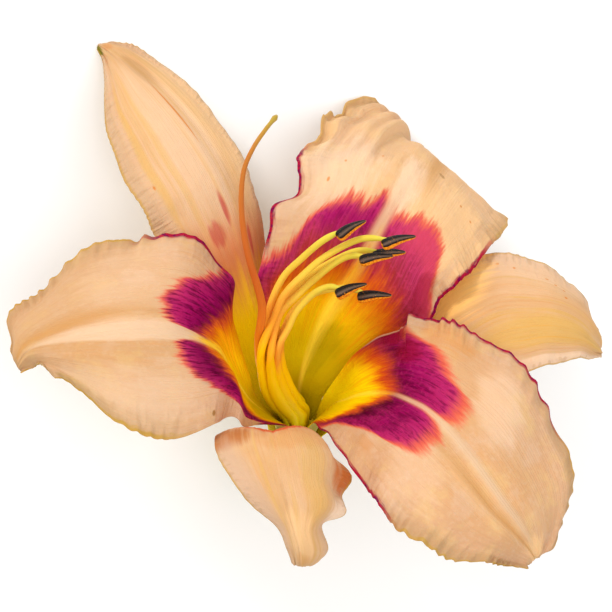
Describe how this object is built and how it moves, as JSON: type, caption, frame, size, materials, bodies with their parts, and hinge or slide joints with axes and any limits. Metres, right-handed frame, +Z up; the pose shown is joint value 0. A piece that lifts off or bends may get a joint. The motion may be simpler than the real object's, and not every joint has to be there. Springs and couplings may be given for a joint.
{
  "type": "daylily flower",
  "caption": "Open daylily bloom as picked: broad ruffled petals over narrower sepals, long curved stamens and a style, on a fleshy tube with a short stalk stub.",
  "frame": {"origin": "centre of the bloom's bounding box, on the table it lies on", "axes": "+Z up from the table; +X along the face's sideways axis; the bloom's own axis leans up and towards +Y, and the open face looks up and a little towards -X and +Y"},
  "size_m": [0.1558, 0.1264, 0.0999],
  "materials": {
    "petal": "satin",
    "sepal": "satin",
    "filament": "satin",
    "anther": "matt, dusty with pollen",
    "style": "satin",
    "perianth_tube": "satin",
    "pedicel": "satin"
  },
  "bodies": {
    "root": {"petal_left": "petal", "petal_upper": "petal", "petal_right": "petal", "sepal_upper": "sepal", "sepal_right": "sepal", "sepal_lower": "sepal", "perianth_tube": "perianth_tube", "pedicel": "pedicel", "filament_1": "filament", "anther_1": "anther", "filament_2": "filament", "anther_2": "anther", "filament_3": "filament", "anther_3": "anther", "filament_4": "filament", "anther_4": "anther", "filament_5": "filament", "anther_5": "anther", "filament_6": "filament", "anther_6": "anther", "style": "style"}
  },
  "joints": []
}
